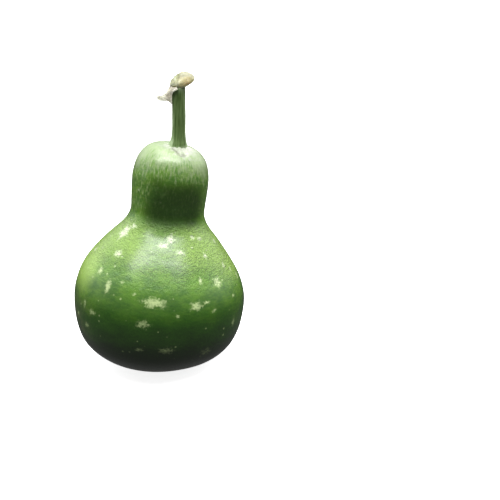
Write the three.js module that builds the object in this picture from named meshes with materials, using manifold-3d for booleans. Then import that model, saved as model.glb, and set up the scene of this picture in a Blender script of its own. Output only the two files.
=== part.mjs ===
// A small bottle gourd, picked with its stalk and standing on its own base.
// Millimetres, +Z up. The origin lies on the resting surface, under the middle of the wide lower bulb.
// Each piece is turned on a lathe as a straight form and then bent, ribbed and creased by a formula.

import * as THREE from "three";
import { mergeVertices } from "three/addons/utils/BufferGeometryUtils.js";
import Module from "manifold-3d";

const wasm = await Module();
wasm.setup();

// Driving dimensions of the fruit.
// Its core bends: how far to the right it runs, one value for each step of height from one step underground
const CORE_RUN = [-4, -2.6, -1.2, 0.9, 4, 6.9, 10.2, 16.1];
const CORE_STEP = 26;
const BACK_LEAN = 0.012; // backwards run of the core for each millimetre above the belly
const BELLY_HEIGHT = 40;
// Radius and height, from the blossom end, round both bulbs, to the middle of the crown
const FRUIT_OUTLINE = [
  [0, -0.8],
  [2.5, -0.8],
  [5.5, -0.7],
  [12, -0.3],
  [18, 1],
  [25, 3.3],
  [34.6, 7.9],
  [42.8, 15.4],
  [47.1, 24.4],
  [49.1, 35.2],
  [49.1, 46],
  [45.7, 57],
  [39.4, 67],
  [32.1, 76],
  [25, 84],
  [21.4, 91],
  [21.2, 98],
  [21.6, 106],
  [21.5, 114],
  [19.4, 122.1],
  [15.2, 127.4],
  [10.2, 129.5],
  [4.5, 129.2],
  [0, 128.9],
];
const LOBES = [
  { count: 3, size: 0.35, turn: 0.6 },
  { count: 5, size: 0.22, turn: 2.1 },
];
const FULL_LOBE_RADIUS = 20;
const CREASES = { count: 5, size: 0.45, turn: 1.5, middle: 10, spread: 5.5, lowest: 116 };
const BLOSSOM_SCAR = { radius: 4.2, depth: 0.9 };
const FRUIT_SIDES = 60;

// Driving dimensions of the stalk
const STALK_FOOT = new THREE.Vector3(12.2, 0.9, 127.6);
const STALK_LEAN = { right: 0.9, back: 0.6, bow: 0.4 }; // how far the top stands off, and the bow between
const STALK_RIBS = { count: 5, depth: 0.07, turn: 0.5 };
const STALK_OUTLINE = [
  [4.5, 0],
  [4.75, 1.5],
  [4.5, 3.2],
  [3.95, 6],
  [3.65, 10],
  [3.55, 18],
  [3.55, 26.5],
  [3.75, 34.3],
];
const STALK_SIDES = 30;
const GAP = 0.3; // room left between neighbouring pieces

// Driving dimensions of the heel, the dry lump of vine at the stalk's top: how far right of the
// stalk each level lies, half its width, half its depth, and its height above the stalk
const HEEL_LEVELS = [
  [0, 4.1, 4, 0],
  [0.7, 5.4, 4.5, 1.2],
  [1.9, 6.3, 4.8, 2.8],
  [2.8, 6.3, 4.7, 4.4],
  [3.5, 5.3, 4, 6.3],
  [3.2, 3.3, 2.8, 7.8],
  [3, 0, 0, 8.8],
];
const HEEL_SIDES = 28;
const HEEL_FOLDS = { count: 5, depth: 0.05, turn: 1.2 };
const HEEL_CLEFT = { across: 0.2, spread: 0.9, depth: 0.9 };

// Driving dimensions of the dry strip of skin that is torn from the heel and hangs beside the stalk.
// Points from its lower to its upper edge, where it laps the stalk, at its bend, halfway, and at its tip
const STRIP_LAP = [
  [9.8, -1.7, 153],
  [9.8, -1.9, 156.8],
  [10.6, -2.8, 160],
  [13.4, -3.3, 161.7],
];
const STRIP_BEND = [
  [7.6, -1.5, 154.8],
  [7.8, -2, 157.4],
  [8.6, -1.8, 160.5],
  [9.9, -0.4, 164.2],
];
const STRIP_MIDDLE = [
  [5.4, -1.9, 155.1],
  [5.3, -2.4, 156.4],
  [5.4, -2.7, 157.7],
  [5.8, -2.4, 159.1],
];
const STRIP_TIP = [
  [2.6, -2.2, 155.4],
  [1.3, -2.9, 156.4],
  [1.8, -3.1, 157.4],
  [1.2, -3.3, 158.2],
];
const STRIP_THICKNESS = 0.8;

// A geometry as a manifold-3d solid, with the vertices that meet made one.
function solidOf(geometry) {
  const bare = geometry.clone();
  bare.deleteAttribute("normal");
  bare.deleteAttribute("uv");
  const merged = mergeVertices(bare, 1e-4);
  return new wasm.Manifold(
    new wasm.Mesh({
      numProp: 3,
      vertProperties: merged.attributes.position.array,
      triVerts: new Uint32Array(merged.index.array),
    }),
  );
}

function geometryOf(solid) {
  const mesh = solid.getMesh();
  const geometry = new THREE.BufferGeometry();
  geometry.setAttribute("position", new THREE.BufferAttribute(mesh.vertProperties, mesh.numProp));
  geometry.setIndex(new THREE.BufferAttribute(mesh.triVerts, 1));
  return geometry;
}

// Moves every vertex of a lathe geometry: place(radius, angle, height) gives its new position.
function shaped(geometry, place) {
  const position = geometry.attributes.position;
  for (let i = 0; i < position.count; i++) {
    const [x, height, z] = [position.getX(i), position.getY(i), position.getZ(i)];
    const to = place(Math.hypot(x, z), Math.atan2(x, z), height);
    position.setXYZ(i, to.x, to.y, to.z);
  }
  return geometry;
}

function bell(distance, spread) {
  return Math.exp(-((distance / spread) ** 2));
}

// A smooth outline through knots of radius and height, with two points to each span.
function outlineThrough(knots) {
  const curve = new THREE.SplineCurve(knots.map(([radius, height]) => new THREE.Vector2(radius, height)));
  return curve.getPoints(2 * (knots.length - 1));
}

const core = new THREE.SplineCurve(CORE_RUN.map((run, i) => new THREE.Vector2(run, (i - 1) * CORE_STEP)));

// How far to the right the fruit's core runs at a height.
function coreAt(height) {
  return core.getPoint((height / CORE_STEP + 1) / (CORE_RUN.length - 1)).x;
}

// One point of the fruit's skin. Sections stand square to the core, and the base is flat where it rests.
function skinPoint(radius, angle, height) {
  let out = radius;
  for (const lobe of LOBES) {
    out += Math.min(1, radius / FULL_LOBE_RADIUS) * lobe.size * Math.cos(lobe.count * angle + lobe.turn);
  }
  const tilt = Math.atan(coreAt(height + 0.5) - coreAt(height - 0.5));
  const across = out * Math.cos(angle);
  const onCrown = height > CREASES.lowest ? bell(radius - CREASES.middle, CREASES.spread) : 0;
  const crease = CREASES.size * onCrown * Math.cos(CREASES.count * angle + CREASES.turn);
  const scar = height < 0 ? BLOSSOM_SCAR.depth * Math.max(0, 1 - (radius / BLOSSOM_SCAR.radius) ** 2) : 0;
  return new THREE.Vector3(
    coreAt(height) + across * Math.cos(tilt),
    out * Math.sin(angle) + BACK_LEAN * (height - BELLY_HEIGHT),
    Math.max(0, height - across * Math.sin(tilt) - crease) + scar,
  );
}

function fruitGeometry() {
  return shaped(new THREE.LatheGeometry(outlineThrough(FRUIT_OUTLINE), FRUIT_SIDES), skinPoint);
}

function stalkCentre(share) {
  return new THREE.Vector3(
    STALK_FOOT.x + STALK_LEAN.right * share + STALK_LEAN.bow * Math.sin(Math.PI * share),
    STALK_FOOT.y + STALK_LEAN.back * share,
    STALK_FOOT.z,
  );
}

// The stalk, five-ribbed and widening into a foot. Swollen by some clearance it cuts its own socket.
function stalkGeometry(clearance) {
  const side = outlineThrough(STALK_OUTLINE.map(([radius, height]) => [radius + clearance, height]));
  const height = side.at(-1).y;
  const profile = [new THREE.Vector2(0, -clearance), ...side, new THREE.Vector2(0, height)];
  profile[1].y = -clearance;
  return shaped(new THREE.LatheGeometry(profile, STALK_SIDES), (radius, angle, h) => {
    const rib = 1 + STALK_RIBS.depth * Math.cos(STALK_RIBS.count * angle + STALK_RIBS.turn);
    const point = stalkCentre(h / height);
    point.x += radius * rib * Math.cos(angle);
    point.y += radius * rib * Math.sin(angle);
    point.z += h;
    return point;
  });
}

// The heel: a lump that leans out to the right, with shallow folds and one deeper cleft over its top.
function heelGeometry() {
  const top = stalkCentre(1);
  const joint = STALK_FOOT.z + STALK_OUTLINE.at(-1)[1] + GAP;
  const sizes = new THREE.SplineCurve(HEEL_LEVELS.map(([, half, deep]) => new THREE.Vector2(half, deep)));
  const route = new THREE.SplineCurve(HEEL_LEVELS.map(([right, , , h]) => new THREE.Vector2(right, h)));
  const rings = 2 * (HEEL_LEVELS.length - 1);
  const straight = Array.from({ length: rings }, (_, i) => new THREE.Vector2(1, i / rings));
  const profile = [new THREE.Vector2(0, 0), ...straight, new THREE.Vector2(0, 1)];
  return shaped(new THREE.LatheGeometry(profile, HEEL_SIDES), (radius, angle, share) => {
    const half = sizes.getPoint(share);
    const at = route.getPoint(share);
    const fold = 1 + share * HEEL_FOLDS.depth * Math.cos(HEEL_FOLDS.count * angle + HEEL_FOLDS.turn);
    const across = at.x + radius * half.x * fold * Math.cos(angle);
    const cleft = share * HEEL_CLEFT.depth * bell(across - HEEL_CLEFT.across, HEEL_CLEFT.spread);
    const deep = radius * half.y * fold * Math.sin(angle);
    return new THREE.Vector3(
      top.x + across,
      top.y + deep - cleft * Math.sign(deep) * Math.min(1, Math.abs(deep)),
      joint + at.y - cleft * share,
    );
  });
}

// The strip: a thin blade that runs down beside the stalk and out to the left.
function stripGeometry() {
  const edges = [STRIP_TIP, STRIP_MIDDLE, STRIP_BEND, STRIP_LAP].map(
    (points) => new THREE.CatmullRomCurve3(points.map((point) => new THREE.Vector3(...point))),
  );
  const blade = new THREE.BoxGeometry(1, 1, STRIP_THICKNESS, 12, 9, 1);
  const position = blade.attributes.position;
  for (let i = 0; i < position.count; i++) {
    const level = position.getY(i) + 0.5;
    const row = new THREE.CatmullRomCurve3(edges.map((edge) => edge.getPoint(level)));
    const point = row.getPoint(position.getX(i) + 0.5);
    position.setXYZ(i, point.x, point.y - position.getZ(i), point.z);
  }
  return blade;
}

function piece(name, solid, colour, roughness) {
  const material = new THREE.MeshStandardMaterial({ color: colour, roughness, metalness: 0 });
  const mesh = new THREE.Mesh(geometryOf(solid), material);
  mesh.name = name;
  return mesh;
}

const stalk = solidOf(stalkGeometry(0));
const socket = solidOf(stalkGeometry(GAP));
const fruit = solidOf(fruitGeometry()).subtract(socket);
const heel = solidOf(heelGeometry()).add(solidOf(stripGeometry()));

const gourd = new THREE.Group();
gourd.add(piece("fruit", fruit, 0x5f9438, 0.38));
gourd.add(piece("stalk", stalk, 0x56783c, 0.55));
gourd.add(piece("vine_heel", heel, 0xd9cf9e, 0.8));

export default gourd;
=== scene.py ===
import math
import random

import bpy
import numpy as np
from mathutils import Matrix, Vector, noise


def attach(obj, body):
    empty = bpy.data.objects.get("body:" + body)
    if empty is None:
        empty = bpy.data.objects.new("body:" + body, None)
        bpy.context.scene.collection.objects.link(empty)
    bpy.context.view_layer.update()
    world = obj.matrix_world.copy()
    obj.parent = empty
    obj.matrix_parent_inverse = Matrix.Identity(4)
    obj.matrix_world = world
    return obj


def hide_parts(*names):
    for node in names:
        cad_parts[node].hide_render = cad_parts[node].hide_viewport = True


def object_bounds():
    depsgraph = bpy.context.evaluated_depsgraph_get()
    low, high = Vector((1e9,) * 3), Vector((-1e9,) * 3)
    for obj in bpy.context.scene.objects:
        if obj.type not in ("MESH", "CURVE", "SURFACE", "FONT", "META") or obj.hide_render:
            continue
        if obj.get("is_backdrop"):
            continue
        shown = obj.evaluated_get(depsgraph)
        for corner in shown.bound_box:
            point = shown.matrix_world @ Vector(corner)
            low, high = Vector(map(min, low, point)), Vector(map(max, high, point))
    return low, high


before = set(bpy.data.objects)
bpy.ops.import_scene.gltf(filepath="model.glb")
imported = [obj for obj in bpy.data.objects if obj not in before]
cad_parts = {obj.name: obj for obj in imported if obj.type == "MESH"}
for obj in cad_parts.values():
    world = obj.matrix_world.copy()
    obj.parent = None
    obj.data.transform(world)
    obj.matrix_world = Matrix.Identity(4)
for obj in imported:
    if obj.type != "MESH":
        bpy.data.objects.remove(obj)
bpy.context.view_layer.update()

MM = 0.001

# The fruit: one growth of firm flesh in a thin waxy skin, two bulbs with a waist between them.
# It bends along its core, stands on a flat it made by resting, and was picked with its stalk on.
# The outline and the core are its solid's, in millimetres, and are drawn here with a finer skin.
CORE_RUN = [-4, -2.6, -1.2, 0.9, 4, 6.9, 10.2, 16.1]
CORE_STEP = 26
BACK_LEAN = 0.012
BELLY_HEIGHT = 40
FRUIT_OUTLINE = [
    (0, -0.8), (2.5, -0.8), (5.5, -0.7), (12, -0.3), (18, 1), (25, 3.3), (34.6, 7.9), (42.8, 15.4),
    (47.1, 24.4), (49.1, 35.2), (49.1, 46), (45.7, 57), (39.4, 67), (32.1, 76), (25, 84), (21.4, 91),
    (21.2, 98), (21.6, 106), (21.5, 114), (19.4, 122.1), (15.2, 127.4), (10.2, 129.5), (4.5, 129.2),
    (0, 128.9),
]
LOBES = [(3, 0.35, 0.6), (5, 0.22, 2.1)]  # how many, how high, and where the first lies
FULL_LOBE_RADIUS = 20
SKIN_INSET = 0.03  # the drawn skin lies this far inside its solid
SKIN_SIDES = 250
SKIN_RINGS = 300
SWELLS = [(17, 0.18), (6.5, 0.06)]  # width and height of the skin's uneven swells
SHOULDER = dict(bottom=(62, 74), top=(93, 85))  # heights where the lower bulb's shoulder sets in and fades
SHOULDER_DENTS = (3.4, 0.11)  # width and height of the finer dents on it
CROWN_EDGE = (118, 124)  # heights over which the crown's folds set in
FOOT_PLACE = (12.2, 0.9)  # where the stalk's foot stands on the crown
FOLDS = dict(count=11, size=0.6, middle=5, spread=6, turn=0.4, wander=4, wander_width=5)  # round the foot
COLLAR = dict(radius=4.7, spread=2.2, wider_left=0.364, height=1.0, ribs=5, turn=0.5)  # rises to the foot
DIMPLE = dict(width=1.35, depth=0.8)  # the crease in front of the foot, painted grey as shade
DIMPLE_CURVE = [  # how far right and back it runs
    (10.6, -6.4), (11.9, -8.9), (12.9, -10.6), (13.8, -11.7), (15.4, -11.8), (16.8, -10.6),
]
CREAM = dict(right=14, back=-2.5, reach=11)  # the cream skin round the foot
CROWN_PALES = (108, 131)  # heights over which the upper bulb pales
# Painted rim light: the upper bulb's right and left sides are painted paler.
PAINTED_RIM_LIGHT = [(0.33, 17, 29), (0.18, 0, -11)]  # how much, from where and to where, right and left
PAINTED_RIM_LIGHT_FROM = (105, 118)
PAINTED_SHADE_BAND = dict(angle=-75, half_angle=49, bottom=(80, 95), top=(128, 101))  # painted shade, nearly black-green, on the upper bulb's front
SCAR = dict(radius=4.2, depth=0.9, rays=7)  # where the blossom was

# Flecks: pale spots where the skin is thin. Angle round the core (the viewer's side is -90),
# height, width along the skin, height along the skin, and how strong each one is.
SEEN_FLECKS = [
    (-90, 53.2, 10.5, 4.6, 1.0), (-40, 62.2, 4.6, 5.8, 0.9), (-61, 51.4, 6.0, 4.6, 0.9),
    (-53, 53.0, 4.6, 1.6, 0.8), (-96, 41.4, 6.4, 4.4, 0.6), (-125, 56.6, 3.2, 6.4, 0.9),
    (-138, 61.5, 2.8, 4.0, 0.9), (-131, 71.9, 4.6, 4.0, 1.0), (-165, 67.4, 3.4, 3.0, 0.8),
    (-144, 81.6, 5.2, 7.2, 1.3), (-135, 85.9, 3.4, 3.0, 0.8), (-55, 63.9, 2.4, 3.8, 0.7),
    (-42, 74.8, 2.6, 3.0, 0.8), (-40, 82.4, 3.0, 2.2, 0.8), (-50, 83.3, 2.6, 2.6, 0.7),
    (-15, 79.4, 2.4, 2.4, 0.8), (-24, 68.7, 2.4, 3.8, 0.8), (-16, 65.3, 2.0, 3.4, 0.7),
    (-9, 60.7, 2.4, 5.0, 0.8), (-48, 47.9, 2.6, 2.6, 0.6), (-27, 52.7, 2.6, 2.2, 0.6),
    (-143, 43.2, 2.2, 5.4, 0.6), (-134, 40.8, 5.2, 2.6, 0.6), (-141, 31.6, 4.2, 3.2, 0.5),
    (-153, 35.1, 3.2, 2.6, 0.6), (-28, 36.5, 2.4, 5.6, 0.6), (-98, 25.7, 4.8, 2.4, 0.4),
    (-80, 25.8, 8.2, 4.0, 0.45), (-50, 21.1, 6.4, 6.0, 0.35), (-74, 46.6, 3.0, 2.0, 0.5),
    (-104, 56.3, 2.4, 2.0, 0.5), (-115, 60.3, 2.4, 2.0, 0.5), (-80, 82.8, 4.6, 5.0, 0.7),
    (-88, 79.7, 5.6, 3.4, 0.7), (-70, 77.0, 4.6, 2.8, 0.7),
]
FLECKS_ELSEWHERE = 78  # on the sides away from the viewer
FLECK_SEED = 11
FLECK_ANGLES = (5, 175)
FLECK_HEIGHTS = (12, 92)
FLECK_WIDTHS = (1.8, 6.5)
FEW_WIDE_ONES = 2.2  # the higher, the fewer of them are wide
FLECK_TALLNESS = (0.5, 1.3)  # height as a share of width
FLECK_STRENGTHS = (0.5, 1)
FLECK_ARMS = dict(count=5, size=0.16)
FLECK_REACH = 0.55  # how far a fleck's edge lies from its middle, as a share of its width
GRAIN_RADIUS = 20  # the skin's fibres are laid out on a straight tube of this radius


def along(knots, t):
    """Points of a smooth curve through the knots, where t counts knots from the first."""
    knots = np.asarray(knots, float).reshape(len(knots), -1)
    last = len(knots) - 1
    start = np.clip(np.floor(t).astype(int), 0, last - 1)
    share = (t - start)[:, None]
    before, here, there, after = (knots[np.clip(start + k, 0, last)] for k in (-1, 0, 1, 2))
    leave, arrive = (there - before) / 2, (after - here) / 2
    return (
        (2 * here - 2 * there + leave + arrive) * share**3
        + (3 * there - 3 * here - 2 * leave - arrive) * share**2
        + leave * share
        + here
    )


def evenly_along(knots, count):
    """Points that lie evenly along that curve, and how far along it each one is."""
    fine = along(knots, np.linspace(0, len(knots) - 1, 40 * len(knots)))
    run = np.concatenate([[0], np.cumsum(np.linalg.norm(np.diff(fine, axis=0), axis=1))])
    places = np.linspace(0, run[-1], count)
    return np.column_stack([np.interp(places, run, fine[:, k]) for k in range(2)]), places


def core_at(height):
    """How far to the right the fruit's core runs at each height."""
    return along(CORE_RUN, np.atleast_1d(height) / CORE_STEP + 1)[:, 0]


def smooth_step(value, start, end):
    """0 before start, 1 after end, and smooth between them."""
    share = np.clip((value - start) / (end - start), 0, 1)
    return share * share * (3 - 2 * share)


def closed_skin(name, rings):
    """A mesh through rings of points, closed by the single points that its first and last rings are."""
    count, sides = len(rings), rings.shape[1]
    points = np.vstack([rings[0, :1], rings[1:-1].reshape(-1, 3), rings[-1, :1]]) * MM
    end = len(points) - 1
    faces = []
    for side in range(sides):
        after = (side + 1) % sides
        faces.append((0, 1 + after, 1 + side))
        for ring in range(count - 3):
            low, high = 1 + ring * sides, 1 + (ring + 1) * sides
            faces.append((low + side, low + after, high + after, high + side))
        top = 1 + (count - 3) * sides
        faces.append((end, top + side, top + after))
    mesh = bpy.data.meshes.new(name)
    mesh.from_pydata(points.tolist(), [], faces)
    mesh.polygons.foreach_set("use_smooth", [True] * len(faces))
    piece = bpy.data.objects.new(name, mesh)
    bpy.context.collection.objects.link(piece)
    return piece


def ends_once(values):
    """A value for each point of closed_skin, from a value for each point of its rings."""
    return np.concatenate([values[0, :1], values[1:-1].reshape(-1, *values.shape[2:]), values[-1, :1]])


def keep(piece, name, values):
    """Stores a number or a vector for each point of a mesh, for its material to read."""
    kind, field = ("FLOAT_VECTOR", "vector") if values.ndim == 2 else ("FLOAT", "value")
    store = piece.data.attributes.new(name, kind, "POINT")
    store.data.foreach_set(field, values.ravel())


def off_angle(turn, degrees):
    """How far each angle lies from one that is given in degrees, the short way round."""
    return (turn - math.radians(degrees) + math.pi) % (2 * math.pi) - math.pi


def swell_at(points, width):
    """Soft unevenness between -1 and 1, with bumps about that wide."""
    return np.array([noise.noise(Vector(p)) for p in (points / width).tolist()])


outline, run = evenly_along(FRUIT_OUTLINE, SKIN_RINGS)
outline[[0, -1], 0] = 0
radius, height = outline[:, :1], outline[:, 1:]
turn = np.linspace(-math.pi, math.pi, SKIN_SIDES, endpoint=False)[None, :]
across_from = core_at(height[:, 0])[:, None]
tilt = np.arctan(core_at(height[:, 0] + 0.5) - core_at(height[:, 0] - 0.5))[:, None]


def skin_rings(radius_here):
    """The fruit's skin as rings of points, where radius_here is each point's distance from the core."""
    across = radius_here * np.cos(turn)
    return np.stack([
        across_from + across * np.cos(tilt),
        radius_here * np.sin(turn) + BACK_LEAN * (height - BELLY_HEIGHT),
        np.maximum(0, height - across * np.sin(tilt)),
    ], axis=-1)


swollen = radius - SKIN_INSET * np.minimum(1, radius)
for count, size, where in LOBES:
    swollen = swollen + np.minimum(1, radius / FULL_LOBE_RADIUS) * size * np.cos(count * turn + where)
plain = skin_rings(swollen).reshape(-1, 3)
dents = sum(size * (1 + swell_at(plain, width)) / 2 for width, size in SWELLS)
swollen = swollen - np.minimum(1, radius / FULL_LOBE_RADIUS) * dents.reshape(swollen.shape)
on_shoulder = smooth_step(height, *SHOULDER["bottom"]) * smooth_step(height, *SHOULDER["top"])
fine_dents = SHOULDER_DENTS[1] * (1 + swell_at(plain, SHOULDER_DENTS[0])) / 2
swollen = swollen - on_shoulder * fine_dents.reshape(swollen.shape)
rings = skin_rings(swollen)

# The crown is drawn into folds round the stalk's foot, and the underside holds the blossom's scar.
on_crown = smooth_step(height, *CROWN_EDGE) * np.ones_like(turn)
from_foot = np.hypot(rings[..., 0] - FOOT_PLACE[0], rings[..., 1] - FOOT_PLACE[1])
round_foot = np.arctan2(rings[..., 1] - FOOT_PLACE[1], rings[..., 0] - FOOT_PLACE[0])
near_foot = np.exp(-(((from_foot - FOLDS["middle"]) / FOLDS["spread"]) ** 2)) * on_crown
wander = swell_at(rings.reshape(-1, 3), FOLDS["wander_width"]).reshape(near_foot.shape)
fold = np.cos(FOLDS["count"] * round_foot + FOLDS["turn"] + FOLDS["wander"] * wander)
rings[..., 2] -= FOLDS["size"] * near_foot * (0.5 + 0.5 * fold)
nearer_left = from_foot / (1 + COLLAR["wider_left"] * np.clip(-np.cos(round_foot), 0, 1))
rise = np.exp(-((np.clip(nearer_left - COLLAR["radius"], 0, None) / COLLAR["spread"]) ** 2)) * on_crown
ribbed = 0.75 + 0.25 * np.cos(COLLAR["ribs"] * round_foot + COLLAR["turn"])
rings[..., 2] += COLLAR["height"] * rise * ribbed
dimple_run = along(DIMPLE_CURVE, np.linspace(0, len(DIMPLE_CURVE) - 1, 30))
from_dimple = np.min([np.hypot(rings[..., 0] - x, rings[..., 1] - y) for x, y in dimple_run], axis=0)
dimple = np.exp(-((from_dimple / DIMPLE["width"]) ** 2)) * on_crown
rings[..., 2] -= DIMPLE["depth"] * dimple
scar = np.clip(1 - (radius / SCAR["radius"]) ** 2, 0, 1) * (height < 0)
rings[..., 2] += SCAR["depth"] * scar * (0.75 + 0.25 * np.cos(SCAR["rays"] * turn))

fruit = closed_skin("fruit_skin", rings)

# Each fleck leaves a soft mound of values, highest at its middle, that the skin's material cuts out.
draw = random.Random(FLECK_SEED)
flecks = list(SEEN_FLECKS)
while len(flecks) < len(SEEN_FLECKS) + FLECKS_ELSEWHERE:
    where = draw.uniform(*FLECK_ANGLES)
    level = draw.uniform(*FLECK_HEIGHTS)
    wide = FLECK_WIDTHS[0] + (FLECK_WIDTHS[1] - FLECK_WIDTHS[0]) * draw.random() ** FEW_WIDE_ONES
    tall = wide * draw.uniform(*FLECK_TALLNESS)
    strong = draw.uniform(*FLECK_STRENGTHS)
    flecks.append((where, level, wide, tall, strong))
mound = np.zeros((SKIN_RINGS, SKIN_SIDES))
walls = slice(40, -40)  # the rings off the base and the crown, each of which is higher than the last
for where, level, wide, tall, strong in flecks:
    middle = np.interp(level, height[walls, 0], run[walls])
    sideways = off_angle(turn, where) * radius / (FLECK_REACH * wide)
    upwards = (run[:, None] - middle) / (FLECK_REACH * tall)
    arms = 1 + FLECK_ARMS["size"] * np.cos(FLECK_ARMS["count"] * np.arctan2(upwards, sideways) + 9 * where)
    mound = np.maximum(mound, (0.45 + 0.55 * strong) * np.exp(-0.7 * (sideways**2 + upwards**2) * arms**2))
keep(fruit, "flecks", ends_once(mound))
grain = np.stack([
    GRAIN_RADIUS * np.cos(turn) * np.ones_like(radius),
    GRAIN_RADIUS * np.sin(turn) * np.ones_like(radius),
    run[:, None] * np.ones_like(turn),
], axis=-1)
keep(fruit, "grain", ends_once(grain))
keep(fruit, "height", ends_once(height * np.ones_like(turn)))
from_cream = np.hypot(rings[..., 0] - CREAM["right"], rings[..., 1] - CREAM["back"])
keep(fruit, "foot", ends_once(on_crown * np.exp(-((from_cream / CREAM["reach"]) ** 2))))
# Painted rim light on the upper bulb's sides, stored with the crown's paling.
painted_rim_light = sum(much * smooth_step(rings[..., 0], start, end) for much, start, end in PAINTED_RIM_LIGHT)
painted_rim_light = painted_rim_light * smooth_step(height, *PAINTED_RIM_LIGHT_FROM)
keep(fruit, "crown", ends_once(smooth_step(height, *CROWN_PALES) + painted_rim_light))
keep(fruit, "dimple", ends_once(dimple))
# The painted shade's mask: full across the upper bulb's front, fading to its sides.
off_painted_shade_middle = np.abs(np.degrees(turn) - PAINTED_SHADE_BAND["angle"]) / PAINTED_SHADE_BAND["half_angle"]
in_painted_shade_heights = smooth_step(height, *PAINTED_SHADE_BAND["bottom"]) * smooth_step(height, *PAINTED_SHADE_BAND["top"])
keep(fruit, "painted_shade_mask", ends_once(smooth_step(off_painted_shade_middle, 1.5, 0.5) * in_painted_shade_heights))
keep(fruit, "scar", ends_once(scar * np.ones_like(turn)))


def start_material(name):
    """A new material, its node tree and its main shader, with nothing set yet."""
    material = bpy.data.materials.new(name)
    material.use_nodes = True
    return material, material.node_tree, material.node_tree.nodes["Principled BSDF"]


def add(tree, kind, settings=None, **inputs):
    """A node of that kind: settings are its own choices, and inputs are values or other outputs."""
    made = tree.nodes.new("ShaderNode" + kind)
    for name, value in (settings or {}).items():
        setattr(made, name, value)
    for name, value in inputs.items():
        put(tree, made.inputs[name.replace("_", " ")], value)
    return made


def put(tree, socket, value):
    """Links an output to a socket, or sets the socket to a value."""
    if isinstance(value, bpy.types.NodeSocket):
        tree.links.new(value, socket)
    else:
        socket.default_value = value


def work(tree, how, *values):
    """A sum done in the material: how is the Math node's operation."""
    made = tree.nodes.new("ShaderNodeMath")
    made.operation = how
    for socket, value in zip(made.inputs, values):
        put(tree, socket, value)
    return made.outputs[0]


def product(tree, first, *others):
    """Several values multiplied."""
    for other in others:
        first = work(tree, "MULTIPLY", first, other)
    return first


def roughened(tree, value, pattern, much):
    """A value with a 0 to 1 pattern worked into it, so that what is cut out of it has an uneven edge."""
    return work(tree, "MULTIPLY_ADD", work(tree, "SUBTRACT", pattern, 0.5), much, value)


def between(tree, value, low, high, to_low=0.0, to_high=1.0):
    """A value eased from one range to another, and held at its ends."""
    made = add(
        tree, "MapRange", {"interpolation_type": "SMOOTHSTEP"},
        Value=value, From_Min=low, From_Max=high, To_Min=to_low, To_Max=to_high,
    )
    return made.outputs[0]


def tint(tree, share, first, second):
    """One colour turned into another by a share from 0 to 1."""
    made = tree.nodes.new("ShaderNodeMix")
    made.data_type = "RGBA"
    # The node has sockets for other kinds of value too, and these are the ones for colours.
    for socket, value in zip((made.inputs[0], made.inputs[6], made.inputs[7]), (share, first, second)):
        put(tree, socket, value)
    return made.outputs[2]


def stored(tree, name, field="Fac"):
    """What keep() stored for a piece under that name."""
    return add(tree, "Attribute", {"attribute_name": name}).outputs[field]


def millimetres(tree):
    """The place on the piece, in millimetres."""
    place = add(tree, "TexCoord").outputs["Object"]
    return add(tree, "VectorMath", {"operation": "SCALE"}, Vector=place, Scale=1 / MM).outputs[0]


def stretched(tree, vector, x, y, z):
    """A vector with each of its sides divided by a length, so that a pattern is that wide along it."""
    made = tree.nodes.new("ShaderNodeVectorMath")
    made.operation = "DIVIDE"
    put(tree, made.inputs[0], vector)
    made.inputs[1].default_value = (x, y, z)
    return made.outputs[0]


def cloud(tree, vector, width, detail=2.0, rough=0.5):
    """Soft random values from 0 to 1, with patches about that many millimetres wide."""
    made = add(tree, "TexNoise", Vector=vector, Scale=1 / width, Detail=detail, Roughness=rough)
    return made.outputs["Fac"]


DEEP_GREEN = (0.075, 0.2, 0.022, 1)
LEAF_GREEN = (0.128, 0.3, 0.017, 1)
LIME_GREEN = (0.215, 0.4, 0.05, 1)
# Painted sheen for the lower bulb's shoulder.
PAINTED_SHEEN_GREEN = (0.37, 0.58, 0.1, 1)
# Painted shade for the upper bulb's dark front.
PAINTED_SHADE_GREEN = (0.013, 0.044, 0.003, 1)
# Painted shade for the lower bulb's darker bottom, this green and the next.
PAINTED_SHADE_LOW_GREEN = (0.025, 0.095, 0.007, 1)
PAINTED_SHADE_UNDER_GREEN = (0.013, 0.033, 0.006, 1)
# Painted reflection of a brown table on the lower left.
PAINTED_REFLECTION_OLIVE = (0.17, 0.18, 0.075, 1)
FLECK_CREAM = (0.55, 0.69, 0.31, 1)
FLECK_WHITE = (0.76, 0.86, 0.56, 1)
# Also the colour of the painted rim light on the upper bulb's sides.
CROWN_PALE = (0.31, 0.41, 0.2, 1)
CROWN_CREAM = (0.49, 0.51, 0.43, 1)
DIMPLE_PAINTED_SHADE_GREY = (0.17, 0.18, 0.12, 1)
# Painted shade for the crease in front of the foot.
SCAR_BROWN = (0.2, 0.15, 0.07, 1)
DOT_SPACING = 4.2
# Heights between which each colour of the skin, and its crinkles, go from none to full
# The painted shade on the lower bulb sets in over these next two.
PAINTED_SHADE_LOW_SETS_IN = (74, 38)
PAINTED_SHADE_UNDER_SETS_IN = (44, 20)
# The painted reflection on the lower left sets in over this one.
PAINTED_REFLECTION_SETS_IN = (66, 45)
# The painted sheen on the shoulder sets in and fades over these two.
PAINTED_SHEEN_SETS_IN = (64, 76)
PAINTED_SHEEN_FADES = (91, 83)
DASHES_SET_IN = (70, 110)
# The flecks fade into the painted shade at the bottom over this one.
FLECKS_OUT_OF_PAINTED_SHADE = (10, 36)
FLECKS_WHITEN = (58, 76)
CRINKLES_SET_IN = (55, 70)
CRINKLES_FADE = (93, 84)
# Distances to the right between which they do so
LEFT_FLANK = (-24, -42)
RIGHT_FLANK = (28, 46)
# And the painted reflection lies this far to the left.
PAINTED_REFLECTION_SIDE = (-32, -46)

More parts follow.
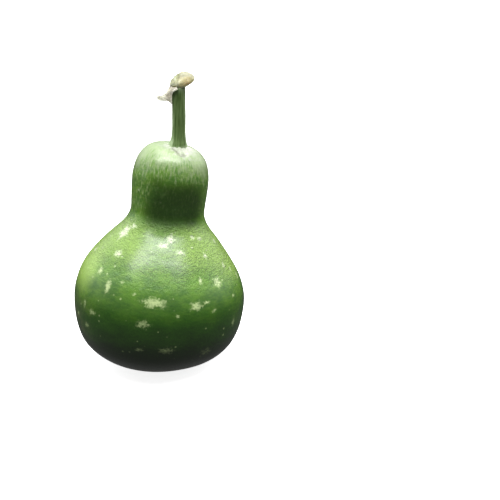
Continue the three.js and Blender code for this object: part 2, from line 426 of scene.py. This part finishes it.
skin, tree, shader = start_material("gourd_skin")
place = millimetres(tree)
fibres = stored(tree, "grain", "Vector")
level = stored(tree, "height")
broad = cloud(tree, stretched(tree, place, 1.5, 1.5, 1), 9, 4, 0.6)
mottle = cloud(tree, stretched(tree, place, 2.6, 2.6, 1), 1.4, 4, 0.62)
fine = cloud(tree, place, 0.8, 3, 0.6)
green = tint(tree, between(tree, broad, 0.35, 0.65), DEEP_GREEN, LEAF_GREEN)
green = tint(tree, between(tree, mottle, 0.42, 0.66, 0, 0.55), green, LIME_GREEN)
# Painted shade: the upper bulb's front is painted nearly black-green, with ragged edges, and pale dashes and
# dots fade out in it.
painted_shade = roughened(tree, roughened(tree, stored(tree, "painted_shade_mask"), mottle, 0.35), broad, 0.9)
green = tint(tree, between(tree, painted_shade, 0.05, 1.05, 0, 0.92), green, PAINTED_SHADE_GREEN)
right = add(tree, "SeparateXYZ", Vector=place).outputs["X"]
flanks = between(tree, right, *LEFT_FLANK, 0, 10)
flanks = work(tree, "ADD", flanks, between(tree, right, *RIGHT_FLANK, 0, 4))
# Painted shade: the lower bulb is painted darker green towards its bottom, setting in lower on the flanks.
low = roughened(tree, work(tree, "ADD", level, flanks), broad, 25)
green = tint(tree, between(tree, low, *PAINTED_SHADE_LOW_SETS_IN, 0, 0.95), green, PAINTED_SHADE_LOW_GREEN)
green = tint(tree, between(tree, low, *PAINTED_SHADE_UNDER_SETS_IN, 0, 0.92), green, PAINTED_SHADE_UNDER_GREEN)
# Painted reflection: a patchy brownish olive low on the left side stands in for a brown table reflected
# there.
painted_reflection = product(
    tree, between(tree, right, *PAINTED_REFLECTION_SIDE), between(tree, low, *PAINTED_REFLECTION_SETS_IN),
    between(tree, mottle, 0.42, 0.6, 0.15, 0.7), between(tree, broad, 0.4, 0.6, 0.25, 1),
)
green = tint(tree, painted_reflection, green, PAINTED_REFLECTION_OLIVE)

# Painted sheen: the lower bulb's shoulder is painted paler on both sides of the middle, spreading the ceiling
# panel's sheen.
off_middle = work(tree, "ABSOLUTE", work(tree, "SUBTRACT", right, 4))
lowered = work(tree, "MULTIPLY_ADD", flanks, 2, level)
outer = between(tree, off_middle, 2, 17, 0.08, 0.52)
outer = work(tree, "ADD", outer, between(tree, off_middle, 26, 44, 0, 0.2))
shoulder = product(
    tree, between(tree, lowered, *PAINTED_SHEEN_SETS_IN), between(tree, level, *PAINTED_SHEEN_FADES), outer,
)
green = tint(tree, shoulder, green, PAINTED_SHEEN_GREEN)

# Fine pale dashes run lengthwise on the upper bulb, and thin out on the lower one.
dashes = cloud(tree, stretched(tree, fibres, 0.75, 0.75, 3), 1, 3, 0.6)
off_painted_shade = between(tree, painted_shade, 0.1, 0.8, 1, 0.12)
dashes = product(
    tree, between(tree, dashes, 0.5, 0.7), between(tree, level, *DASHES_SET_IN, 0, 0.6), off_painted_shade,
)
green = tint(tree, dashes, green, FLECK_CREAM)

# Dots: tiny pale pores all over. Flecks: the larger spots, with ragged edges.
dot_cells = add(tree, "TexVoronoi", Vector=place, Scale=1 / DOT_SPACING, Randomness=1.0)
dot_pick = add(tree, "SeparateColor", Color=dot_cells.outputs["Color"]).outputs[0]
dot_size = between(tree, dot_pick, 0.35, 1, 0.02, 0.17)
dots = between(tree, work(tree, "SUBTRACT", dot_size, dot_cells.outputs["Distance"]), -0.04, 0.07, 0, 0.5)
dots = product(tree, dots, off_painted_shade)
mound = stored(tree, "flecks")
ragged = roughened(tree, mound, cloud(tree, place, 1.3, 3, 0.65), 1.35)
spots = product(tree, between(tree, ragged, 0.25, 1.0, 0, 0.95), between(tree, mound, 0.05, 0.3))
# The flecks fade towards the bottom along with the painted shade there.
spots = product(tree, work(tree, "MAXIMUM", dots, spots), between(tree, level, *FLECKS_OUT_OF_PAINTED_SHADE, 0.16, 1))
fleck = tint(tree, between(tree, level, *FLECKS_WHITEN), FLECK_CREAM, FLECK_WHITE)
green = tint(tree, spots, green, fleck)

# The crown pales towards the stalk's foot, the upper bulb's sides are painted paler as painted rim light, and
# the blossom's scar is corky.
streaks = cloud(tree, stretched(tree, fibres, 1.1, 1.1, 4.5), 1, 3, 0.6)
crown = stored(tree, "crown")
pale = between(tree, roughened(tree, crown, streaks, 2.4), 0.18, 1.05, 0, 0.88)
green = tint(tree, product(tree, pale, between(tree, crown, 0, 0.15)), green, CROWN_PALE)
uneven = cloud(tree, place, 2.2, 4, 0.65)
cream = roughened(tree, stored(tree, "foot"), uneven, 1.2)
green = tint(tree, between(tree, cream, 0.25, 0.8, 0, 0.9), green, CROWN_CREAM)
# Painted shade: the crease in front of the foot is painted grey.
crease = roughened(tree, stored(tree, "dimple"), uneven, 1.3)
green = tint(tree, between(tree, crease, 0.15, 1.1, 0, 0.7), green, DIMPLE_PAINTED_SHADE_GREY)
green = tint(tree, between(tree, stored(tree, "scar"), 0.05, 0.4), green, SCAR_BROWN)
put(tree, shader.inputs["Base Color"], green)
put(tree, shader.inputs["Roughness"], between(tree, fine, 0.3, 0.7, 0.34, 0.5))
shader.inputs["Specular IOR Level"].default_value = 0.3
shader.inputs["Coat Weight"].default_value = 0.8
shader.inputs["Coat IOR"].default_value = 1.65
shader.inputs["Coat Roughness"].default_value = 0.28
pits = work(tree, "MULTIPLY_ADD", cloud(tree, place, 1.9, 3, 0.65), 2.2, fine)
crinkle = product(tree, between(tree, level, *CRINKLES_SET_IN), between(tree, level, *CRINKLES_FADE))
crinkle = work(tree, "MULTIPLY_ADD", crinkle, 0.85, 0.15)
bump = add(tree, "Bump", Strength=crinkle, Distance=0.0009, Height=pits)
put(tree, shader.inputs["Normal"], bump.outputs[0])
fruit.data.materials.append(skin)
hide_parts("fruit")
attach(fruit, "root")

# The stalk: a stem of tough green fibre with five ribs, which grows out of the crown on a spread foot.
# It was cut with the fruit, bends slightly on its way up, and keeps a pale bloom along some ribs; on its left
# and right edges that pale is partly bloom and partly painted rim light.
STALK_FOOT = (12.2, 0.9, 127.6)
STALK_LEAN = dict(right=0.9, back=0.6, bow=0.4)
STALK_RIBS = dict(count=5, depth=0.07, turn=0.5)
STALK_OUTLINE = [
    (4.5, 0), (4.75, 1.5), (4.5, 3.2), (3.95, 6), (3.65, 10), (3.55, 18), (3.55, 26.5), (3.75, 34.3),
]
STALK_SIDES = 130
STALK_RINGS = 150
STALK_RADIUS = 3.5
FURROWS = dict(depth=0.16, width=0.55, length=14)
FULLER = 1.03  # fills the stalk out by what the furrows take from it
FOOT_FLARE = dict(left=1.5, height=7)  # how much further the foot spreads on the left
FOOT_BLOOM = dict(strength=1.2, height=(12, 2))  # the foot's left side is pale with bloom
# The first two ribs lie on the stalk's left and right edges, where the pale is partly painted rim light.
BLOOM_AND_PAINTED_RIM_LIGHT_RIBS = [  # angle, spread, strength, and how high the bloom reaches
    (-160, 27, 1.1, 26), (2, 26, 1.2, 44), (66, 20, 0.8, 26), (138, 20, 0.7, 26),
]
BLOOM_FADE = 8
STALK_GREEN = (0.14, 0.225, 0.07, 1)
STALK_DARK = (0.062, 0.115, 0.022, 1)
STALK_PALE = (0.38, 0.5, 0.28, 1)

side = evenly_along(STALK_OUTLINE, STALK_RINGS)[0]
side = np.vstack([(0, side[0, 1]), side, (0, side[-1, 1])])
radius, height = side[:, :1], side[:, 1:]
turn = np.linspace(-math.pi, math.pi, STALK_SIDES, endpoint=False)[None, :]
share = height / STALK_OUTLINE[-1][1]
rib = np.cos(STALK_RIBS["count"] * turn + STALK_RIBS["turn"]) * np.ones_like(height)
leftward = np.clip(-np.cos(turn), 0, 1)
line = np.stack(np.broadcast_arrays(
    STALK_RADIUS * np.cos(turn), STALK_RADIUS * np.sin(turn), height / FURROWS["length"],
), axis=-1)
furrow = FURROWS["depth"] * swell_at(line.reshape(-1, 3), FURROWS["width"]).reshape(rib.shape)
flare = FOOT_FLARE["left"] * smooth_step(height, FOOT_FLARE["height"], 0) * leftward
around = radius * (FULLER + STALK_RIBS["depth"] * rib) + np.minimum(1, radius) * (flare - furrow)
rings = np.stack(np.broadcast_arrays(
    STALK_FOOT[0] + STALK_LEAN["right"] * share + STALK_LEAN["bow"] * np.sin(math.pi * share)
    + around * np.cos(turn),
    STALK_FOOT[1] + STALK_LEAN["back"] * share + around * np.sin(turn),
    STALK_FOOT[2] + height,
), axis=-1)
stalk = closed_skin("stalk_skin", rings)
bloom = FOOT_BLOOM["strength"] * smooth_step(height, *FOOT_BLOOM["height"]) * leftward**2
for where, spread, strong, high in BLOOM_AND_PAINTED_RIM_LIGHT_RIBS:
    off_rib = off_angle(turn, where) / math.radians(spread)
    bloom = bloom + strong * np.exp(-(off_rib**2)) * smooth_step(height, high + BLOOM_FADE, high - BLOOM_FADE)
keep(stalk, "bloom", ends_once(bloom))
keep(stalk, "height", ends_once(height * np.ones_like(turn)))
keep(stalk, "grain", ends_once(line))

fibre, tree, shader = start_material("stalk_fibre")
line = stored(tree, "grain", "Vector")
streaks = cloud(tree, line, 0.8, 4, 0.6)
level = stored(tree, "height")
green = tint(tree, between(tree, streaks, 0.35, 0.62), STALK_DARK, STALK_GREEN)
bloom = roughened(tree, stored(tree, "bloom"), streaks, 1.2)
green = tint(tree, between(tree, bloom, 0.2, 1.0, 0, 0.9), green, STALK_PALE)
green = tint(tree, between(tree, level, 3, 1, 0, 0.6), green, STALK_PALE)
green = tint(tree, between(tree, level, 31, 35.5, 0, 0.6), green, STALK_PALE)
put(tree, shader.inputs["Base Color"], green)
put(tree, shader.inputs["Roughness"], between(tree, streaks, 0.3, 0.7, 0.45, 0.62))
bump = add(tree, "Bump", Strength=0.5, Distance=0.0003, Height=streaks)
put(tree, shader.inputs["Normal"], bump.outputs[0])
stalk.data.materials.append(fibre)
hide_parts("stalk")
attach(stalk, "root")

# The heel: the lump of old vine that the stalk was torn away with, dried to a pale, corky, folded knob.
# Its two lobes meet in a cleft over the top, and it turned tan where it dried last.
HEEL_LEVELS = [
    (0, 4.1, 4, 0), (0.7, 5.4, 4.5, 1.2), (1.9, 6.3, 4.8, 2.8), (2.8, 6.3, 4.7, 4.4), (3.5, 5.3, 4, 6.3),
    (3.2, 3.3, 2.8, 7.8), (3, 0, 0, 8.8),
]
HEEL_JOINT = (13.1, 1.5, 162.2)
HEEL_FOLDS = dict(count=5, depth=0.05, turn=1.2)
HEEL_CLEFTS = [(0.2, 0.9, 0.9), (-0.7, 0.4, 0.55), (2.6, 0.5, 0.25)]  # across, spread, depth
HEEL_SIDES = 110
HEEL_RINGS = 80
HEEL_TOP = 170.95
CORK_WRINKLES = [(1.8, 0.3), (0.8, 0.18)]  # width and depth
LEFT_LOBE = (15.5, 11.5)  # how far right it begins, and where it is full
PAINTED_LIGHT_BELOW = (169, 165.5)  # heights over which the cork is painted paler, as painted light
# The joint is darkened: partly the torn tissue's own dark colour, partly painted shade under the heel.
JOINT_DARKENS = dict(height=(164.4, 162.3), left=(15.5, 12.5))
TAN_SPOT = (18.6, -3.0, 165)
TAN_REACH = 2.8
HEEL_CREAM = (0.34, 0.345, 0.25, 1)
HEEL_GREEN = (0.32, 0.36, 0.25, 1)
# Painted light: the heel's lower part is painted this much paler than its darker cream top.
HEEL_PAINTED_LIGHT = (0.88, 0.86, 0.55, 1)
HEEL_TAN = (0.98, 0.82, 0.42, 1)
# An olive for the cork's grit, and painted shade in the cleft and under the heel.
HEEL_OLIVE_AND_PAINTED_SHADE = (0.16, 0.16, 0.05, 1)

share = 1 - (1 - np.linspace(0, 1, HEEL_RINGS - 1)) ** 1.5  # the rings crowd towards the rounded top
share = np.concatenate([[0], share])
levels = np.array(HEEL_LEVELS)
size = along(levels[:, 1:3], share * (len(levels) - 1))
route = along(levels[:, [0, 3]], share * (len(levels) - 1))
size[0] = 0
share = share[:, None]
turn = np.linspace(-math.pi, math.pi, HEEL_SIDES, endpoint=False)[None, :]
fold = 1 + share * HEEL_FOLDS["depth"] * np.cos(HEEL_FOLDS["count"] * turn + HEEL_FOLDS["turn"])
rings = np.stack([
    HEEL_JOINT[0] + route[:, :1] + size[:, :1] * fold * np.cos(turn),
    HEEL_JOINT[1] + size[:, 1:] * fold * np.sin(turn),
    HEEL_JOINT[2] + route[:, 1:] * np.ones_like(turn),
], axis=-1)
wrinkle = sum(
    depth * (0.25 + swell_at(rings.reshape(-1, 3), width)) for width, depth in CORK_WRINKLES
).reshape(share.shape[0], -1)
cleft = sum(
    depth * np.exp(-(((rings[..., 0] - HEEL_JOINT[0] - across) / spread) ** 2))
    for across, spread, depth in HEEL_CLEFTS
) * share
rings[..., 0] -= wrinkle * np.cos(turn) * np.minimum(1, size[:, :1])
rings[..., 1] -= (wrinkle + cleft) * np.clip(rings[..., 1] - HEEL_JOINT[1], -1, 1)
rings[..., 2] = np.minimum(rings[..., 2] - (cleft + wrinkle) * share, HEEL_TOP)
heel = closed_skin("heel_cork", rings)
keep(heel, "cleft", ends_once(cleft))
left_lobe = smooth_step(rings[..., 0], *LEFT_LOBE)
keep(heel, "left_lobe", ends_once(left_lobe))
# Painted light: the heel's lower part is painted much paler than its top, evening out the strong light on the
# top; less so on the left lobe.
keep(heel, "painted_light_below", ends_once(smooth_step(rings[..., 2], *PAINTED_LIGHT_BELOW) * (1 - 0.6 * left_lobe)))
darker_left = 0.35 + 0.65 * smooth_step(rings[..., 0], *JOINT_DARKENS["left"])
keep(heel, "joint", ends_once(smooth_step(rings[..., 2], *JOINT_DARKENS["height"]) * darker_left))
off_spot = np.linalg.norm(rings - TAN_SPOT, axis=-1)
keep(heel, "tan", ends_once(np.exp(-((off_spot / TAN_REACH) ** 2))))

cork, tree, shader = start_material("dry_cork")
place = millimetres(tree)
grit = cloud(tree, place, 0.5, 4, 0.65)
patch = cloud(tree, place, 2.2, 3)
pale = tint(tree, between(tree, patch, 0.4, 0.7, 0, 0.2), HEEL_CREAM, HEEL_TAN)
pale = tint(tree, stored(tree, "left_lobe"), pale, HEEL_GREEN)
# Painted light on the heel's lower part.
pale = tint(tree, stored(tree, "painted_light_below"), pale, HEEL_PAINTED_LIGHT)
pale = tint(tree, stored(tree, "tan"), pale, HEEL_TAN)
# Painted shade: the cleft is darkened to olive, and so is the joint, which is partly the torn tissue's own
# dark colour.
pale = tint(tree, between(tree, stored(tree, "cleft"), 0.1, 0.8, 0, 0.75), pale, HEEL_OLIVE_AND_PAINTED_SHADE)
pale = tint(tree, between(tree, stored(tree, "joint"), 0.1, 0.9, 0, 0.65), pale, HEEL_OLIVE_AND_PAINTED_SHADE)
pale = tint(tree, between(tree, grit, 0.5, 0.75, 0, 0.3), pale, HEEL_OLIVE_AND_PAINTED_SHADE)
put(tree, shader.inputs["Base Color"], pale)
put(tree, shader.inputs["Roughness"], between(tree, grit, 0.3, 0.7, 0.6, 0.8))
shader.subsurface_method = "BURLEY"
shader.inputs["Subsurface Weight"].default_value = 0.9
shader.inputs["Subsurface Radius"].default_value = (1, 0.9, 0.6)
shader.inputs["Subsurface Scale"].default_value = 0.005
bump = add(tree, "Bump", Strength=0.6, Distance=0.0004, Height=grit)
put(tree, shader.inputs["Normal"], bump.outputs[0])
heel.data.materials.append(cork)
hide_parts("vine_heel")
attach(heel, "root")

# The strip: a torn ribbon of the vine's skin, dried as thin as paper, that hangs from under the heel.
# It laps the stalk's front with a rolled edge, and runs out to the left into a frayed tip.
STRIP_ROWS = [  # each row runs from the strip's lower edge to its upper edge
    [(2.6, -2.2, 155.4), (1.3, -2.9, 156.4), (1.8, -3.1, 157.4), (1.2, -3.3, 158.2)],
    [(5.4, -1.9, 155.1), (5.3, -2.4, 156.4), (5.4, -2.7, 157.7), (5.8, -2.4, 159.1)],
    [(7.6, -1.5, 154.8), (7.8, -2, 157.4), (8.6, -1.8, 160.5), (9.9, -0.4, 164.2)],
    [(9.8, -1.7, 153), (9.8, -1.9, 156.8), (10.6, -2.8, 160), (13.4, -3.3, 161.7)],
]
STRIP_LONG = 90
STRIP_WIDE = 56
STRIP_THICKNESS = 0.3
STRIP_WRINKLES = [(1.3, 0.22), (0.5, 0.1)]  # width and height
LONGEST_TEAR = 0.3  # as a share of the strip's length
STRIP_CREAM = (0.95, 0.95, 0.82, 1)
STRIP_BEIGE = (0.58, 0.54, 0.43, 1)
STRIP_GREY = (0.5, 0.45, 0.35, 1)

long = np.linspace(0, 1, STRIP_LONG)
wide = np.linspace(0, 1, STRIP_WIDE)
rows = np.stack([along(row, wide * (len(row) - 1)) for row in STRIP_ROWS])
sheet = np.stack([along(rows[:, j], long * (len(rows) - 1)) for j in range(STRIP_WIDE)], axis=1)

# The tip is pulled into a few broad tears and many fine threads.
tears = np.array([noise.noise(Vector((9.1, 4 * v, 0.3))) for v in wide])
threads = np.array([noise.noise(Vector((3.3, 13 * v, 7.2))) for v in wide])
pulled = np.clip(0.03 + 0.08 * (tears + 0.6 * threads), 0, LONGEST_TEAR)[None, :] * (1 - long[:, None]) ** 2
sheet = np.stack([
    np.column_stack([np.interp(long + pulled[:, j], long, sheet[:, j, k]) for k in range(3)])
    for j in range(STRIP_WIDE)
], axis=1)
out = np.cross(np.gradient(sheet, axis=0), np.gradient(sheet, axis=1))
out /= np.linalg.norm(out, axis=-1, keepdims=True)
crumple = sum(
    high * swell_at(sheet.reshape(-1, 3), width) for width, high in STRIP_WRINKLES
).reshape(sheet.shape[:2])
loose = (1 - 0.75 * smooth_step(long, 0.55, 0.95))[:, None]
sheet = sheet + out * (crumple * loose)[..., None]
faces = [
    (i * STRIP_WIDE + j, i * STRIP_WIDE + j + 1, (i + 1) * STRIP_WIDE + j + 1, (i + 1) * STRIP_WIDE + j)
    for i in range(STRIP_LONG - 1) for j in range(STRIP_WIDE - 1)
]
mesh = bpy.data.meshes.new("torn_strip")
mesh.from_pydata((sheet.reshape(-1, 3) * MM).tolist(), [], faces)
mesh.polygons.foreach_set("use_smooth", [True] * len(faces))
strip = bpy.data.objects.new("torn_strip", mesh)
bpy.context.collection.objects.link(strip)
inner = smooth_step(long, 0.25, 0.65) * (1 - 0.5 * smooth_step(long, 0.8, 1))
keep(strip, "inner", np.repeat(inner, STRIP_WIDE))
body = strip.modifiers.new("body", "SOLIDIFY")
body.thickness = STRIP_THICKNESS * MM
body.offset = 0

papery, tree, shader = start_material("papery_skin")
place = millimetres(tree)
veins = cloud(tree, place, 0.7, 4, 0.6)
shade = cloud(tree, place, 2.4, 2)
pale = tint(tree, stored(tree, "inner"), STRIP_CREAM, STRIP_BEIGE)
pale = tint(tree, between(tree, shade, 0.45, 0.75, 0, 0.4), pale, STRIP_GREY)
pale = tint(tree, between(tree, veins, 0.55, 0.75, 0, 0.5), pale, STRIP_GREY)
put(tree, shader.inputs["Base Color"], pale)
put(tree, shader.inputs["Roughness"], between(tree, veins, 0.3, 0.7, 0.5, 0.7))
shader.subsurface_method = "BURLEY"
shader.inputs["Subsurface Weight"].default_value = 0.8
shader.inputs["Subsurface Radius"].default_value = (1, 0.95, 0.8)
shader.inputs["Subsurface Scale"].default_value = 0.002
bump = add(tree, "Bump", Strength=0.5, Distance=0.0003, Height=veins)
put(tree, shader.inputs["Normal"], bump.outputs[0])
strip.data.materials.append(papery)
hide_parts("vine_heel")
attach(strip, "root")

# The floor: a plain pale surface that the gourd stands on. It isn't part of the gourd.
# It sends no light back up, so the gourd's underside stays dark.
FLOOR_REACH = 30

corners = [
    (-FLOOR_REACH, -FLOOR_REACH, 0), (FLOOR_REACH, -FLOOR_REACH, 0),
    (FLOOR_REACH, FLOOR_REACH, 0), (-FLOOR_REACH, FLOOR_REACH, 0),
]
floor_mesh = bpy.data.meshes.new("floor")
floor_mesh.from_pydata(corners, [], [(0, 1, 2, 3)])
floor = bpy.data.objects.new("floor", floor_mesh)
bpy.context.collection.objects.link(floor)
paper, tree, shader = start_material("pale_floor")
shader.inputs["Base Color"].default_value = (0.86, 0.86, 0.855, 1)
shader.inputs["Emission Color"].default_value = (1, 1, 1, 1)
shader.inputs["Emission Strength"].default_value = 0.84
shader.inputs["Roughness"].default_value = 0.9
floor.data.materials.append(paper)
floor.visible_diffuse = False
floor.visible_glossy = False
floor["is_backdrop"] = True

# The light: a broad soft lamp overhead, a long ceiling panel that gives the skin its sheen, and a dim
# dome that is brighter at the sides and the back. To the camera the dome is plain white.
key = bpy.data.lights.new("overhead", "SUN")
key.energy = 2.7
key.angle = math.radians(55)
lamp = bpy.data.objects.new("overhead", key)
lamp.rotation_euler = (math.radians(-5), math.radians(2), 0)
bpy.context.collection.objects.link(lamp)
ceiling = bpy.data.lights.new("ceiling", "AREA")
ceiling.shape = "RECTANGLE"
ceiling.size = 1.7
ceiling.size_y = 0.45
ceiling.energy = 24
panel = bpy.data.objects.new("ceiling", ceiling)
panel.location = (0.1, -0.5, 1.2)
panel.rotation_euler = (math.radians(-25), 0, 0)
bpy.context.collection.objects.link(panel)
dome = bpy.data.worlds.new("dome")
bpy.context.scene.world = dome
dome.use_nodes = True
tree = dome.node_tree
sky = tree.nodes["Background"]
sky.inputs["Color"].default_value = (1, 1, 1, 1)
way = add(tree, "SeparateXYZ", Vector=add(tree, "TexCoord").outputs["Generated"])
rise = between(tree, way.outputs["Z"], -0.1, 0.45, 0.0, 1.0)
behind = between(tree, way.outputs["Y"], -0.5, 0.2, 0.22, 1.0)
aside = between(tree, work(tree, "ABSOLUTE", way.outputs["X"]), 0.3, 0.8, 1.0, 1.55)
above = work(tree, "MULTIPLY_ADD", product(tree, rise, behind, aside), 0.95, 0.04)
glow = work(tree, "ADD", above, between(tree, way.outputs["Z"], -0.1, -0.6, 0.0, 0.08))
seen = add(tree, "LightPath").outputs["Is Camera Ray"]
put(tree, sky.inputs["Strength"], work(tree, "ADD", glow, seen))

# The camera stands square in front of the gourd and a little above it, and looks slightly down.
# It is near enough for the crown and the base to look curved.
camera = bpy.data.cameras.new("camera")
camera.lens = 73.95
camera.sensor_width = 36
viewer = bpy.data.objects.new("camera", camera)
viewer.location = (0.0527, -0.5653, 0.2467)
viewer.rotation_euler = (math.radians(72.5), 0, 0)
bpy.context.collection.objects.link(viewer)
bpy.context.scene.camera = viewer
bpy.context.scene.view_settings.view_transform = "Standard"

low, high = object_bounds()
